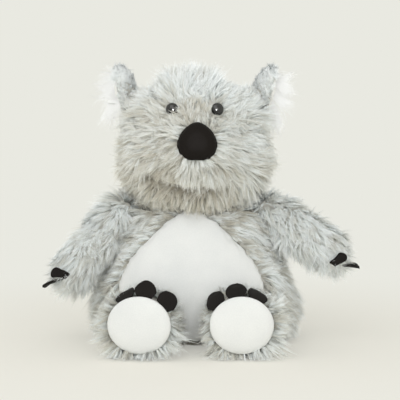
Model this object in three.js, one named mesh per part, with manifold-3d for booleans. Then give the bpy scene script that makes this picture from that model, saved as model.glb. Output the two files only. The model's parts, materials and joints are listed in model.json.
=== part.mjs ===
// A seated koala soft toy with a warming grain pouch behind its belly.
// Millimetres, +Z up. The toy faces -Y and sits on z = 0, with the origin under its middle.
// Left and right are as seen from the front: left is -X.
// Outer sizes are taken over the pile, a little under its tips.
import * as THREE from "three";
import { mergeVertices } from "three/addons/utils/BufferGeometryUtils.js";
import Module from "manifold-3d";

const wasm = await Module();
wasm.setup();

const degrees = THREE.MathUtils.degToRad;

// Clearances
const seamGap = 0.4; // between pieces that are sewn or laid together
const jointGap = 0.7; // between a moving piece and what it turns on
const flatCut = 0.5; // depth of the flats that the toy rests on

// Cloth thicknesses
const pileWall = 9; // long-pile plush with its backing
const limbWall = 7; // the same on the arms and legs
const smoothWall = 4; // short-pile plush with its backing
const smoothDrop = 3; // how far the belly panel lies under the long pile
const pouchWall = 1.6;
const feltThick = 1.8;

// Stuffed forms. A profile row is [height, side, front, back], each a share of the form's size.
const torso = {
  width: 177,
  front: 69,
  back: 64,
  base: -flatCut,
  height: 143,
  profile: [
    [0, 0, 0, 0],
    [0.002, 0.45, 0.45, 0.45],
    [0.008, 0.82, 0.8, 0.82],
    [0.06, 0.94, 0.91, 0.93],
    [0.2, 1, 0.98, 1],
    [0.35, 0.94, 1, 0.98],
    [0.55, 0.8, 0.9, 0.9],
    [0.7, 0.7, 0.76, 0.8],
    [0.83, 0.55, 0.6, 0.68],
    [0.94, 0.38, 0.4, 0.44],
    [1, 0, 0, 0],
  ],
};
const neckHeight = 117; // where the head sits on the torso

const head = {
  width: 130,
  front: 57,
  back: 56,
  base: neckHeight - 13,
  height: 119,
  profile: [
    [0, 0, 0, 0],
    [0.02, 0.42, 0.42, 0.42],
    [0.1, 0.68, 0.68, 0.66],
    [0.22, 0.88, 0.92, 0.84],
    [0.4, 0.985, 1, 0.96],
    [0.55, 1, 1, 1],
    [0.7, 0.965, 0.93, 0.98],
    [0.84, 0.865, 0.8, 0.9],
    [0.92, 0.72, 0.64, 0.76],
    [0.975, 0.46, 0.42, 0.5],
    [1, 0, 0, 0],
  ],
};
const headForward = 4; // the head's middle is this far in front of the torso's

// What is on the head has its height above the head's base, as its rise.
const muzzle = { reach: 14, spread: 27, flatten: 0.9, rise: 56 };
const chin = { reach: 9, spread: 15, flatten: 0.45, rise: 19 };
const mouth = { reach: -8, spread: 6, flatten: 0.2, rise: 32 };

const arm = {
  width: 44,
  front: 21,
  back: 21,
  base: -22,
  height: 112,
  profile: [
    [0, 0, 0, 0],
    [0.03, 0.55, 0.5, 0.5],
    [0.12, 0.94, 0.86, 0.86],
    [0.4, 1.07, 0.96, 0.96],
    [0.65, 1.06, 1, 1],
    [0.84, 1, 0.95, 0.95],
    [0.95, 0.74, 0.68, 0.68],
    [1, 0, 0, 0],
  ],
};
const armBow = 3; // how far the arm arches up between its ends
const shoulder = { inward: 34.5, forward: 6, height: 110 }; // inward from the torso's widest
const armCrease = { outward: 5, upward: 11 }; // from the shoulder to the edge on which the arm hinges
const armAims = { left: [-0.66, -0.33, -0.68], right: [0.83, -0.33, -0.45] };
const armRaise = 40;

const leg = {
  width: 66,
  front: 28.5,
  back: 28,
  base: -26,
  height: 79,
  profile: [
    [0, 0, 0, 0],
    [0.03, 0.6, 0.6, 0.6],
    [0.14, 0.92, 0.92, 0.92],
    [0.45, 0.98, 1, 0.98],
    [0.75, 1, 1, 1],
    [0.9, 0.97, 0.97, 0.95],
    [0.97, 0.84, 0.82, 0.8],
    [1, 0, 0, 0],
  ],
};
const hip = { inward: 50.5, backward: 13 }; // from the torso's widest and its front
const legCrease = { backward: 6, height: 58 }; // the seam's upper edge, on which the leg hinges
const legTurns = { left: 7, right: -1 }; // how far each foot points outwards
const legRaise = 45;

// Ears, cups that open to the sides and deepen towards their tops
const ear = { width: 42, height: 50, back: 12.5, deepen: 0.6, front: 3, pinch: 0.3, wall: 5, lip: 0.5 };
const earPlace = { inward: 1.5, backward: 2, rise: 104 }; // from the head's widest
const earCrease = { inward: 3, rise: 90 }; // the seam's lower edge, on which the ear folds
const earTurn = 6; // how far each cup faces backwards
const earLean = 12; // how far its top leans outwards
const earFold = 20;

// Face
const nose = { width: 33, height: 33, front: 12, back: 6, narrow: 0.2, side: 2, rise: 67.5, tilt: 0.1 };
const eye = { radius: 5.4, dome: 4.6, apart: 38.5, rise: 93, sunk: 4, outward: 0.28, upward: 0.12 };
const eyeWell = { deep: 8, flare: 2 }; // the pile stands back round the eye, so that its dome shows
const shank = { radius: 1.6, length: 10.5 };
const washer = { radius: 4.6, thick: 1.4, back: 7 };

// Belly panel, an egg whose broad end is down
const belly = { width: 120, top: 114, widest: 50, bottom: 6, crown: 0.3, foot: 0.6, side: -3 };

// Grain pouch, a pillow of two panels
const pouch = { width: 112, height: 90, thick: 58, forward: 20, middle: 57 };

// Felt claws and toes, petals sewn in by their roots
const petalNeck = 0.7; // a petal's width at its root, as a share of its widest
const claw = { width: 9, length: 12, root: 5 };
const clawTurns = [46, 6, -34]; // round the paw's tip, from the front
const clawLeans = [55, 35, 30];
const clawRises = { left: 5, right: -4 }; // how far the row lies above the paw's middle
const toe = { width: 17.5, length: 10, root: 4, tuck: 1.5 }; // tucked behind the sole's rim
const toeApart = 39;
const toeTurn = 10; // the row is turned this far towards the toy's middle
const toeLeans = { left: [50, 12, 24], right: [36, 42, 52] };

// Soles
const sole = { width: 51, height: 46, front: 6, back: 3, setBack: 5 };

// How finely the forms are cut
const torsoCut = { sides: 30, rings: 17 };
const headCut = { sides: 30, rings: 18 };
const limbCut = { sides: 18, rings: 12 };
const liningCut = { sides: 18, rings: 10 };
const padCut = { sides: 20, rings: 6 };

const greyPlush = material(0xc4c6c1, 1);
const whitePlush = material(0xf1f2f0, 0.95);
const blackFelt = material(0x1c1a19, 0.95);
const blackSatin = material(0x231f1d, 0.6);
const glossBlack = material(0x0b0b0c, 0.15);
const clearPlastic = material(0xd9dcdc, 0.4);
const fibreFill = material(0xf4f2ea, 1);
const cotton = material(0xe8dfc9, 0.9);
const grain = material(0xcaa866, 0.8);

const upZ = new THREE.Vector3(0, 0, 1);
const backY = new THREE.Vector3(0, 1, 0);
const far = 500; // past every piece

function material(color, roughness) {
  return new THREE.MeshStandardMaterial({ color, roughness, metalness: 0 });
}

// Geometries and solids

function weld(geometry) {
  const bare = new THREE.BufferGeometry();
  bare.setAttribute("position", geometry.getAttribute("position").clone());
  if (geometry.index) bare.setIndex(geometry.index.clone());
  return mergeVertices(bare, 1e-4);
}

function solidOf(geometry) {
  const welded = weld(geometry);
  const vertProperties = new Float32Array(welded.attributes.position.array);
  const triVerts = new Uint32Array(welded.index.array);
  return new wasm.Manifold(new wasm.Mesh({ numProp: 3, vertProperties, triVerts }));
}

function geometryOf(solid) {
  const mesh = solid.getMesh();
  const geometry = new THREE.BufferGeometry();
  geometry.setAttribute("position", new THREE.BufferAttribute(new Float32Array(mesh.vertProperties), 3));
  geometry.setIndex(new THREE.BufferAttribute(new Uint32Array(mesh.triVerts), 1));
  geometry.computeVertexNormals();
  return geometry;
}

// The biggest body of a solid, without the slivers that a cut may leave.
function whole(solid) {
  const bodies = solid.decompose();
  return bodies.reduce((best, body) => (body.volume() > best.volume() ? body : best));
}

function meshOf(name, solid, look) {
  const mesh = new THREE.Mesh(geometryOf(whole(solid)), look);
  mesh.name = name;
  return mesh;
}

function placed(geometry, matrix) {
  return geometry.clone().applyMatrix4(matrix);
}

// A closed form's copy with its surface moved out by a distance.
function grown(geometry, distance) {
  const welded = weld(geometry);
  welded.computeVertexNormals();
  const { position, normal } = welded.attributes;
  for (let i = 0; i < position.count; i++) {
    const point = new THREE.Vector3().fromBufferAttribute(position, i);
    const outward = new THREE.Vector3().fromBufferAttribute(normal, i);
    position.setXYZ(i, ...point.addScaledVector(outward, distance));
  }
  return welded;
}

// A closed skin of rings from a start pole to an end pole.
function ringed({ sides, rings }, pointOn) {
  const points = [...pointOn(0, 0)];
  for (let ring = 1; ring < rings; ring++) {
    for (let side = 0; side < sides; side++) {
      points.push(...pointOn(ring / rings, (side / sides) * 2 * Math.PI));
    }
  }
  points.push(...pointOn(1, 0));
  const last = points.length / 3 - 1;
  const at = (ring, side) => 1 + (ring - 1) * sides + (side % sides);
  const faces = [];
  for (let side = 0; side < sides; side++) {
    faces.push(0, at(1, side + 1), at(1, side));
    for (let ring = 1; ring < rings - 1; ring++) {
      faces.push(at(ring, side), at(ring, side + 1), at(ring + 1, side));
      faces.push(at(ring + 1, side), at(ring, side + 1), at(ring + 1, side + 1));
    }
    faces.push(at(rings - 1, side), at(rings - 1, side + 1), last);
  }
  const geometry = new THREE.BufferGeometry();
  geometry.setAttribute("position", new THREE.Float32BufferAttribute(points, 3));
  geometry.setIndex(faces);
  return geometry;
}

// The sections are a little squarer than ellipses.
const squareness = 2.2;

function squared(value) {
  return Math.sign(value) * Math.abs(value) ** (2 / squareness);
}

// A stuffed form along +Z, drawn in all round by an inset.
function swollen(form, inset, cut) {
  const shares = new THREE.CatmullRomCurve3(
    form.profile.map(([, side, front, back]) => new THREE.Vector3(side, front, back)),
  );
  const levels = new THREE.CatmullRomCurve3(form.profile.map(([level]) => new THREE.Vector3(0, 0, level)));
  return ringed(cut, (share, turn) => {
    const reach = shares.getPoint(share);
    const level = share === 0 || share === 1 ? share : levels.getPoint(share).z;
    const backwards = Math.sin(turn) > 0;
    const depth = backwards ? reach.z * (form.back - inset) : reach.y * (form.front - inset);
    return [
      squared(Math.cos(turn)) * reach.x * (form.width / 2 - inset),
      squared(Math.sin(turn)) * depth,
      form.base + inset + level * (form.height - 2 * inset),
    ];
  });
}

// A pad across +Z, with an outline radius for each turn, domed to the front and the back.
function lens(outline, front, back, cut) {
  return ringed(cut, (share, turn) => {
    const slope = Math.abs(2 * share - 1);
    const radius = outline(turn) * Math.cos((slope * Math.PI) / 2);
    const rise = Math.sin((slope * Math.PI) / 2) * (share > 0.5 ? front : -back);
    return [Math.cos(turn) * radius, Math.sin(turn) * radius, rise];
  });
}

function oval(width, height) {
  return (turn) => 1 / Math.hypot(Math.cos(turn) / (width / 2), Math.sin(turn) / (height / 2));
}

// An oval that is narrower towards +Y, or towards -Y with a negative share.
function egg(width, height, narrow) {
  const round = oval(width, height);
  return (turn) => round(turn) * (1 - narrow * Math.sin(turn) * Math.abs(Math.cos(turn)));
}

function turned(points, segments) {
  const profile = points.map(([radius, level]) => new THREE.Vector2(radius, level));
  return new THREE.LatheGeometry(profile, segments).rotateX(Math.PI / 2);
}

function slab(lowest, highest) {
  return new THREE.BoxGeometry(2 * far, 2 * far, highest - lowest).translate(0, 0, (highest + lowest) / 2);
}

const underFloor = solidOf(slab(-far, 0));
const overNeck = solidOf(slab(neckHeight, far));
const underNeck = solidOf(slab(-far, neckHeight + jointGap));

// A frame whose +Z runs along a direction, and whose +Y lies near another.
function frameAt(point, direction, upward) {
  const z = direction.clone().normalize();
  const x = new THREE.Vector3().crossVectors(upward, z).normalize();
  const y = new THREE.Vector3().crossVectors(z, x);
  return new THREE.Matrix4().makeBasis(x, y, z).setPosition(point);
}

// Where a ray first meets a form.
function touch(geometry, from, direction) {
  const target = new THREE.Mesh(geometry, new THREE.MeshBasicMaterial({ side: THREE.DoubleSide }));
  const [hit] = new THREE.Raycaster(from, direction.clone().normalize()).intersectObject(target);
  return hit.point;
}

// What a moving piece has to stay out of, as a solid in the piece's own rest place.
function swept(obstacle, pivot, axis, range, steps) {
  let room = solidOf(obstacle);
  for (let step = 1; step <= steps; step++) {
    const turn = new THREE.Matrix4()
      .makeTranslation(pivot)
      .multiply(new THREE.Matrix4().makeRotationAxis(axis, (-degrees(range) * step) / steps))
      .multiply(new THREE.Matrix4().makeTranslation(pivot.clone().negate()));
    room = room.add(solidOf(placed(obstacle, turn)));
  }
  return room;
}

const flanks = { left: -1, right: 1 };

// Torso

function torsoForm(inset, cut) {
  return swollen(torso, inset, cut);
}

// Across the front, from well before the toy to its middle.
function bellyOpening(margin) {
  const half = belly.width / 2 + margin;
  const top = belly.top + margin;
  const bottom = belly.bottom - margin;
  const crown = half * belly.crown;
  const foot = half * belly.foot;
  const over = (2 * belly.widest + top) / 3;
  const under = (belly.widest + bottom) / 2;
  const outline = new THREE.Shape();
  outline.moveTo(0, top);
  outline.bezierCurveTo(crown, top, half, over, half, belly.widest);
  outline.bezierCurveTo(half, under, foot, bottom, 0, bottom);
  outline.bezierCurveTo(-foot, bottom, -half, under, -half, belly.widest);
  outline.bezierCurveTo(-half, over, -crown, top, 0, top);
  const prism = new THREE.ExtrudeGeometry(outline, { depth: far, bevelEnabled: false, curveSegments: 7 });
  return solidOf(prism.rotateX(Math.PI / 2).translate(belly.side, 0, 0));
}

function pouchForm(inset) {
  const outline = oval(pouch.width - 2 * inset, pouch.height - 2 * inset);
  const half = pouch.thick / 2 - inset;
  const place = new THREE.Vector3(0, -pouch.forward, pouch.middle);
  const frame = frameAt(place, new THREE.Vector3(0, -1, 0), upZ);
  return placed(lens(outline, half, half, liningCut), frame);
}

function makeTorso() {
  const cavity = solidOf(torsoForm(pileWall, liningCut));
  const cover = solidOf(torsoForm(0, torsoCut))
    .subtract(cavity)
    .subtract(bellyOpening(seamGap))
    .subtract(underFloor)
    .subtract(overNeck);
  const panel = solidOf(torsoForm(smoothDrop, torsoCut))
    .subtract(solidOf(torsoForm(smoothDrop + smoothWall, torsoCut)))
    .intersect(bellyOpening(0))
    .subtract(overNeck);
  const pocket = solidOf(pouchForm(-seamGap));
  const stuffing = solidOf(torsoForm(pileWall + seamGap, liningCut))
    .subtract(pocket)
    .subtract(pouchMouth())
    .subtract(overNeck);
  return [
    meshOf("body_cover", cover, greyPlush),
    meshOf("belly_panel", panel, whitePlush),
    meshOf("body_stuffing", stuffing, fibreFill),
    ...makePouch(),
  ];
}

// The stuffing is open before the pouch, which lies right behind the belly.
function pouchMouth() {
  const outline = oval(pouch.width + 2 * seamGap, pouch.height + 2 * seamGap);
  const ring = new THREE.Shape();
  for (let side = 0; side < liningCut.sides; side++) {
    const turn = (side / liningCut.sides) * 2 * Math.PI;
    const x = Math.cos(turn) * outline(turn);
    const y = Math.sin(turn) * outline(turn);
    if (side === 0) ring.moveTo(x, y);
    else ring.lineTo(x, y);
  }
  const prism = new THREE.ExtrudeGeometry(ring, { depth: far, bevelEnabled: false });
  return solidOf(prism.rotateX(Math.PI / 2).translate(0, -pouch.forward, pouch.middle));
}

function makePouch() {
  const skin = solidOf(pouchForm(0)).subtract(solidOf(pouchForm(pouchWall)));
  const seam = -pouch.forward;
  const behind = solidOf(slab(seam - seamGap / 2, far).rotateX(-Math.PI / 2));
  const before = solidOf(slab(-far, seam + seamGap / 2).rotateX(-Math.PI / 2));
  return [
    meshOf("pouch_front_panel", skin.subtract(behind), cotton),
    meshOf("pouch_back_panel", skin.subtract(before), cotton),
    meshOf("grain_filling", solidOf(pouchForm(pouchWall + seamGap)), grain),
  ];
}

// Head

// Pushes the face out, or in, round a level of its front.
function pushed(geometry, bulge) {
  const place = geometry.attributes.position;
  for (let i = 0; i < place.count; i++) {
    const forward = -place.getY(i);
    if (forward <= 0) continue;
    const away = Math.hypot(place.getX(i) * bulge.flatten, place.getZ(i) - head.base - bulge.rise);
    const share = Math.exp(-((away / bulge.spread) ** 2) / 2) * Math.min(1, forward / (head.front / 2));
    place.setY(i, place.getY(i) - bulge.reach * share);
  }
  return geometry;
}

function headForm(inset, cut) {
  const form = swollen(head, inset, cut);
  for (const bulge of [muzzle, chin, mouth]) pushed(form, bulge);
  return form.translate(0, -headForward, 0);
}

const headSurface = headForm(0, headCut);

// A turned solid that the lower head stays inside as it turns on the neck.
function headSweep() {
  const place = headSurface.attributes.position;
  const outline = [];
  for (let ring = 1; ring < headCut.rings; ring++) {
    const first = 1 + (ring - 1) * headCut.sides;
    let reach = 0;
    for (let side = 0; side < headCut.sides; side++) {
      reach = Math.max(reach, Math.hypot(place.getX(first + side), place.getY(first + side)));
    }
    outline.push([reach + jointGap, place.getZ(first)]);
  }
  const [, lowest] = outline[0];
  const [, highest] = outline[outline.length - 1];
  return turned([[0, lowest], ...outline, [0, highest]], headCut.sides);
}

function eyeFrame(side) {
  const from = new THREE.Vector3((side * eye.apart) / 2, -far, head.base + eye.rise);
  const point = touch(headSurface, from, backY);
  const aim = new THREE.Vector3(side * eye.outward, -1, eye.upward).normalize();
  return frameAt(point.addScaledVector(aim, -eye.sunk), aim, upZ);
}

function eyeForm(margin) {
  const radius = eye.radius + margin;
  const points = [
    [0, -shank.length - margin],
    [shank.radius + margin, -shank.length - margin],
    [shank.radius + margin, -1 - margin],
    [radius, -margin],
  ];
  for (let step = 1; step < 5; step++) {
    const turn = (step / 5) * (Math.PI / 2);
    points.push([radius * Math.cos(turn), (eye.dome + margin) * Math.sin(turn)]);
  }
  points.push([0, eye.dome + margin]);
  return turned(points, 16);
}

function washerForm(margin) {
  const outer = washer.radius + margin;
  const inner = shank.radius + (margin > 0 ? 0 : seamGap);
  const top = -washer.back + margin;
  const bottom = -washer.back - washer.thick - margin;
  const ring = [[inner, bottom], [outer, bottom], [outer, top], [inner, top], [inner, bottom]];
  const disc = [[0, bottom], [outer, bottom], [outer, top], [0, top]];
  return turned(margin > 0 ? disc : ring, 16);
}

function eyeWellForm() {
  const radius = eye.radius + seamGap;
  return turned([[0, 0], [radius, 0], [radius + eyeWell.flare, eyeWell.deep], [0, eyeWell.deep]], 16);
}

function noseFrame() {
  const from = new THREE.Vector3(nose.side, -far, head.base + nose.rise);
  const point = touch(headSurface, from, backY);
  return frameAt(point, new THREE.Vector3(0, -1, nose.tilt), upZ);
}

function makeHead() {
  const cavity = solidOf(headForm(pileWall, liningCut));
  let cover = solidOf(headSurface).subtract(cavity).subtract(underNeck);
  let stuffing = solidOf(headForm(pileWall + seamGap, liningCut)).subtract(underNeck);
  const pieces = [];
  for (const [name, side] of Object.entries(flanks)) {
    const frame = eyeFrame(side);
    const room = solidOf(placed(eyeForm(seamGap), frame))
      .add(solidOf(placed(washerForm(seamGap), frame)))
      .add(solidOf(placed(eyeWellForm(), frame)));
    cover = cover.subtract(room);
    stuffing = stuffing.subtract(room);
    pieces.push(meshOf(`${name}_eye`, solidOf(placed(eyeForm(0), frame)), glossBlack));
    pieces.push(meshOf(`${name}_eye_washer`, solidOf(placed(washerForm(0), frame)), clearPlastic));
  }
  const outline = egg(nose.width, nose.height, nose.narrow);
  const pad = solidOf(placed(lens(outline, nose.front, nose.back, padCut), noseFrame()));
  const nosePad = pad.subtract(solidOf(grown(headSurface, seamGap)));
  return [
    meshOf("head_cover", cover, greyPlush),
    meshOf("head_stuffing", stuffing, fibreFill),
    meshOf("nose", nosePad, blackSatin),
    ...pieces,
  ];
}

// Ears

// An ear's pad, drawn in by a wall, whose depth grows from the ear's foot to its top.
function earForm(front, wall) {
  const outline = egg(ear.width - 2 * wall, ear.height - 2 * wall, -ear.pinch);
  const form = lens(outline, front, ear.back - wall, padCut);
  const place = form.attributes.position;
  for (let i = 0; i < place.count; i++) {
    const share = Math.max(0, 0.5 + place.getY(i) / ear.height);
    if (place.getZ(i) < 0) place.setZ(i, place.getZ(i) * (1 + ear.deepen * share));
  }
  return form;
}

function makeEar(name, side) {
  const aim = new THREE.Vector3(
    side * Math.cos(degrees(earLean)),
    Math.sin(degrees(earTurn)),
    -Math.sin(degrees(earLean)),
  );
  const widest = head.width / 2;
  const middle = new THREE.Vector3(
    side * (widest - earPlace.inward),
    earPlace.backward,
    head.base + earPlace.rise,
  );
  const frame = frameAt(middle, aim, upZ);
  const pivot = new THREE.Vector3(side * (widest - earCrease.inward), 0, head.base + earCrease.rise);
  const axis = new THREE.Vector3(0, side, 0);
  const room = swept(grown(headSurface, jointGap), pivot, axis, earFold, 2);
  const cup = solidOf(placed(earForm(ear.lip, 0), frame))
    .subtract(solidOf(placed(earForm(2 * ear.front, ear.wall - seamGap), frame)))
    .subtract(room);
  const tuft = solidOf(placed(earForm(ear.front, ear.wall), frame)).subtract(room);
  return [
    meshOf(`${name}_ear_back`, cup, greyPlush),
    meshOf(`${name}_ear_lining`, tuft, whitePlush),
  ];
}

// Petals

// A felt petal along +Y, with its face across +Z and its root below y = 0.
function petal({ width, length, root }, margin) {
  const half = width / 2 + margin;
  const outline = new THREE.Shape();
  outline.moveTo(-half * petalNeck, -root - margin);
  outline.lineTo(half * petalNeck, -root - margin);
  outline.lineTo(half, length - half + margin);
  outline.absarc(0, length - half + margin, half, 0, Math.PI, false);
  const depth = feltThick + 2 * margin;
  const plate = new THREE.ExtrudeGeometry(outline, { depth, bevelEnabled: false, curveSegments: 8 });
  return plate.translate(0, 0, -depth / 2);
}

// A frame whose +Y runs along a petal, and whose +X runs across it.
function petalFrame(point, along, across) {
  const y = along.clone().normalize();
  const z = new THREE.Vector3().crossVectors(across, y).normalize();
  const x = new THREE.Vector3().crossVectors(y, z);
  return new THREE.Matrix4().makeBasis(x, y, z).setPosition(point);
}

// Arms

function armForm(inset, cut, side) {
  const form = swollen(arm, inset, cut);
  const place = form.attributes.position;
  for (let i = 0; i < place.count; i++) {
    const share = Math.max(0, place.getZ(i)) / (arm.base + arm.height);
    place.setX(i, place.getX(i) - side * armBow * Math.sin(Math.PI * share));
  }
  return form;
}

function clawFrame(surface, side, rise, turn, lean) {
  const outward = new THREE.Vector3(0, -Math.sin(turn), Math.cos(turn));
  const across = new THREE.Vector3(0, Math.cos(turn), Math.sin(turn));
  const palm = new THREE.Vector3(-side * rise, 0, arm.base + arm.height - arm.width / 2);
  const seat = touch(surface, palm.clone().addScaledVector(outward, far), outward.clone().negate());
  const along = outward.clone().multiplyScalar(Math.cos(lean));
  along.x += -side * Math.sin(lean);
  return petalFrame(seat, along, across);
}

function makeArm(name, side) {
  const apart = side * (torso.width / 2 - shoulder.inward);
  const root = new THREE.Vector3(apart, -shoulder.forward, shoulder.height);
  const frame = frameAt(root, new THREE.Vector3(...armAims[name]), backY);
  const pivot = root.clone().add(new THREE.Vector3(side * armCrease.outward, 0, armCrease.upward));
  const axis = new THREE.Vector3(0, -side, 0);
  const room = swept(grown(torsoForm(0, torsoCut), jointGap), pivot, axis, armRaise, 3).add(
    swept(headSweep(), pivot, axis, armRaise, 2),
  );
  const surface = armForm(0, limbCut, side);
  const outer = solidOf(placed(surface, frame));
  const inner = solidOf(placed(armForm(limbWall, liningCut, side), frame));
  const filling = solidOf(placed(armForm(limbWall + seamGap, liningCut, side), frame));
  let cover = outer.subtract(inner).subtract(room);
  const pieces = [];
  clawTurns.forEach((turn, index) => {
    const seat = clawFrame(surface, side, clawRises[name], degrees(turn), degrees(clawLeans[index]));
    const place = new THREE.Matrix4().multiplyMatrices(frame, seat);
    cover = cover.subtract(solidOf(placed(petal(claw, seamGap), place)));
    pieces.push(meshOf(`${name}_paw_claw_${index + 1}`, solidOf(placed(petal(claw, 0), place)), blackFelt));
  });
  return [
    meshOf(`${name}_arm_cover`, cover, greyPlush),
    meshOf(`${name}_arm_stuffing`, filling.subtract(room), fibreFill),
    ...pieces,
  ];
}

// Legs

function soleForm(margin) {
  const outline = oval(sole.width + 2 * margin, sole.height + 2 * margin);
  const pad = lens(outline, sole.front + margin, sole.back + margin, padCut);
  return pad.translate(0, 0, leg.base + leg.height - sole.setBack);
}

function toeFrame(turn, lean) {
  const outward = new THREE.Vector3(Math.sin(turn), Math.cos(turn), 0);
  const across = new THREE.Vector3(Math.cos(turn), -Math.sin(turn), 0);
  const rim = oval(sole.width, sole.height)(Math.PI / 2 - turn) - toe.tuck;
  const level = leg.base + leg.height - sole.setBack - sole.back;
  const along = outward.clone().multiplyScalar(Math.cos(lean));
  along.z = -Math.sin(lean);
  const foot = outward.multiplyScalar(rim).setZ(level);
  return petalFrame(foot.addScaledVector(along, toe.root), along, across);
}

function makeLeg(name, side) {
  const apart = side * (torso.width / 2 - hip.inward);
  const root = new THREE.Vector3(apart, hip.backward - torso.front, leg.front - flatCut);
  const turn = degrees(legTurns[name]);
  const frame = frameAt(root, new THREE.Vector3(side * Math.sin(turn), -Math.cos(turn), 0), upZ);
  const pivot = new THREE.Vector3(apart, legCrease.backward - torso.front, legCrease.height);
  const axis = new THREE.Vector3(-1, 0, 0);
  const room = swept(grown(torsoForm(0, torsoCut), jointGap), pivot, axis, legRaise, 3);
  const outer = solidOf(placed(swollen(leg, 0, limbCut), frame));
  const inner = solidOf(placed(swollen(leg, limbWall, liningCut), frame));
  const filling = solidOf(placed(swollen(leg, limbWall + seamGap, liningCut), frame));
  const soleRoom = solidOf(placed(soleForm(seamGap), frame));
  let cover = outer.subtract(inner).subtract(room).subtract(soleRoom).subtract(underFloor);
  const pieces = [];
  toeLeans[name].forEach((lean, index) => {
    const spread = (index - (toeLeans[name].length - 1) / 2) * toeApart - side * toeTurn;
    const seat = toeFrame(degrees(spread), degrees(lean));
    const place = new THREE.Matrix4().multiplyMatrices(frame, seat);
    cover = cover.subtract(solidOf(placed(petal(toe, seamGap), place)));
    pieces.push(meshOf(`${name}_foot_toe_${index + 1}`, solidOf(placed(petal(toe, 0), place)), blackFelt));
  });
  return [
    meshOf(`${name}_leg_cover`, cover, greyPlush),
    meshOf(`${name}_sole_pad`, solidOf(placed(soleForm(0), frame)), whitePlush),
    meshOf(`${name}_leg_stuffing`, filling.subtract(room).subtract(soleRoom), fibreFill),
    ...pieces,
  ];
}

const koala = new THREE.Group();
koala.add(...makeTorso(), ...makeHead());
for (const [name, side] of Object.entries(flanks)) {
  koala.add(...makeEar(name, side), ...makeArm(name, side), ...makeLeg(name, side));
}

export default koala;
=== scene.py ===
import json
import math

import bmesh
import bpy
import numpy as np
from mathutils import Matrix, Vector
from mathutils.bvhtree import BVHTree
from mathutils.kdtree import KDTree


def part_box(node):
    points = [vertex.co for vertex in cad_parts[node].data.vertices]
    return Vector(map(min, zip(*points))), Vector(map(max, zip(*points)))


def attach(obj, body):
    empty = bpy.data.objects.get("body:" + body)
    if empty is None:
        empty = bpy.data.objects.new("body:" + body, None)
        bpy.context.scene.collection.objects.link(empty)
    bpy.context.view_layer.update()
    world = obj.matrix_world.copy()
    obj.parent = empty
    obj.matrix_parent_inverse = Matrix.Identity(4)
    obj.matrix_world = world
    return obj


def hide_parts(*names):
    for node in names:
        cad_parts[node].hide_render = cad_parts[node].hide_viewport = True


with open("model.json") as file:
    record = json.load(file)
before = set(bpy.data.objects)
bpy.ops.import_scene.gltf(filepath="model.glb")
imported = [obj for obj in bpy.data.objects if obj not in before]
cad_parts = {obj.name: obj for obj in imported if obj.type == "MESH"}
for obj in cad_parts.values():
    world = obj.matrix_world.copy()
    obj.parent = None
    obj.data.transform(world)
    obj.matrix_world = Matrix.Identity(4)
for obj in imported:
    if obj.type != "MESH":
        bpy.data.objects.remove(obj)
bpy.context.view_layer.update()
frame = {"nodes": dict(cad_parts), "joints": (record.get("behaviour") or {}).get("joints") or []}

# A seated koala soft toy: plush skins with a pile of tapered strands, a smooth belly and soles,
# felt claws and toes, and what they hold inside. Metres, +Z up, the face towards -Y.
# Left and right are as seen from the front: left is -X.

flanks = {"left": -1, "right": 1}
joints = {joint["name"]: joint for joint in frame["joints"]}

# The photograph's view: its width in pixels, and what a pixel spans at the torso's middle
photo_pixels = 400
pixel_span = 0.00085
view_distance = 1.3
view_elevation = math.radians(5)
view_centre = Vector((0.00425, 0, 0.1181))
sensor_width = 36

# Room
floor_half = 6.0
floor_near = 0.1  # from here to floor_far the floor fades into the background
floor_far = 0.45
floor_least = 0.45  # the background's share right under the toy, the rest being lit floor
floor_patches = 3.0  # how many of its faint patches go in a metre
sky_strength = 0.7
lamps = {  # each one's place, size and power
    "key": (Vector((-0.55, -1.2, 1.35)), 1.4, 7.0),
    "front": (Vector((0.1, -1.35, 0.4)), 0.8, 5.0),
    "glint": (Vector((0.0, -1.4, 0.16)), 0.28, 18.0),  # only shows in what is glossy
}

# Cloth
pile_depth = {"torso": 0.0065, "ear": 0.003}  # how far a skin lies under its solid's surface
skin_voxel = 0.004
head_voxel = 0.0025
pad_voxel = 0.002
nose_voxel = 0.0014
felt_voxel = 0.0006
fibre_voxel = 0.003
cotton_voxel = 0.0008
sole_rim = 0.3  # where a sole's widest outline lies, from its back to its crown
swell_frames = 20
swell_pressure = 4
swell_most = {
    "torso": 0.0025, "head": 0.002, "belly": 0.0015, "nose": 0.001, "limb": 0.002, "sole": 0.0012,
}
shell_wall = 0.0012
neck_opening = 0.1  # above this height the torso's skin is open at the top
fibre_top = 0.106  # the torso's filling stays under the head, out of sight

# Pile
root_depth = 0.001  # a strand starts this far under its skin
lock_radius = 0.0008
loose_spread = 2.2  # how much further from its lock's middle a stray strand ends
loose_reach = 1.12
loose_width = 0.6
tuft_share = 0.12  # of the locks, those that the others gather round
tuft_near = 0.001  # up to this far from a tuft's middle the strands have no painted shade
tuft_far = 0.0036  # from here on they carry the full painted shade between two tufts
floor_clearance = 0.0006
floor_fold = 0.2  # what a strand would reach below the floor lies this share of it above
most_strands = 39000  # in one piece
strand_levels = np.array([0, 0.36, 0.7, 1.0])  # its corners' places, as shares of its length
strand_widths = np.array([0.8, 1.0, 0.7])  # at all of them but the tip
belly_overlap = 0.001  # how far under the belly panel's edge the pile begins
belly_slope = 0.128  # the panel's upper edges lie where height and distance aside add up to this
claw_root = 0.005  # from a claw's middle back to where the pile stands up over it
ring_start = -0.022  # from here forwards the pile stands in tufts round the sole
ring_edge = 0.92  # the share of the sole's outline from which they grow
ring_edge_below = 0.82
toe_room = 0.02  # how far ahead of a strand of the ring no toe may be

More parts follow.
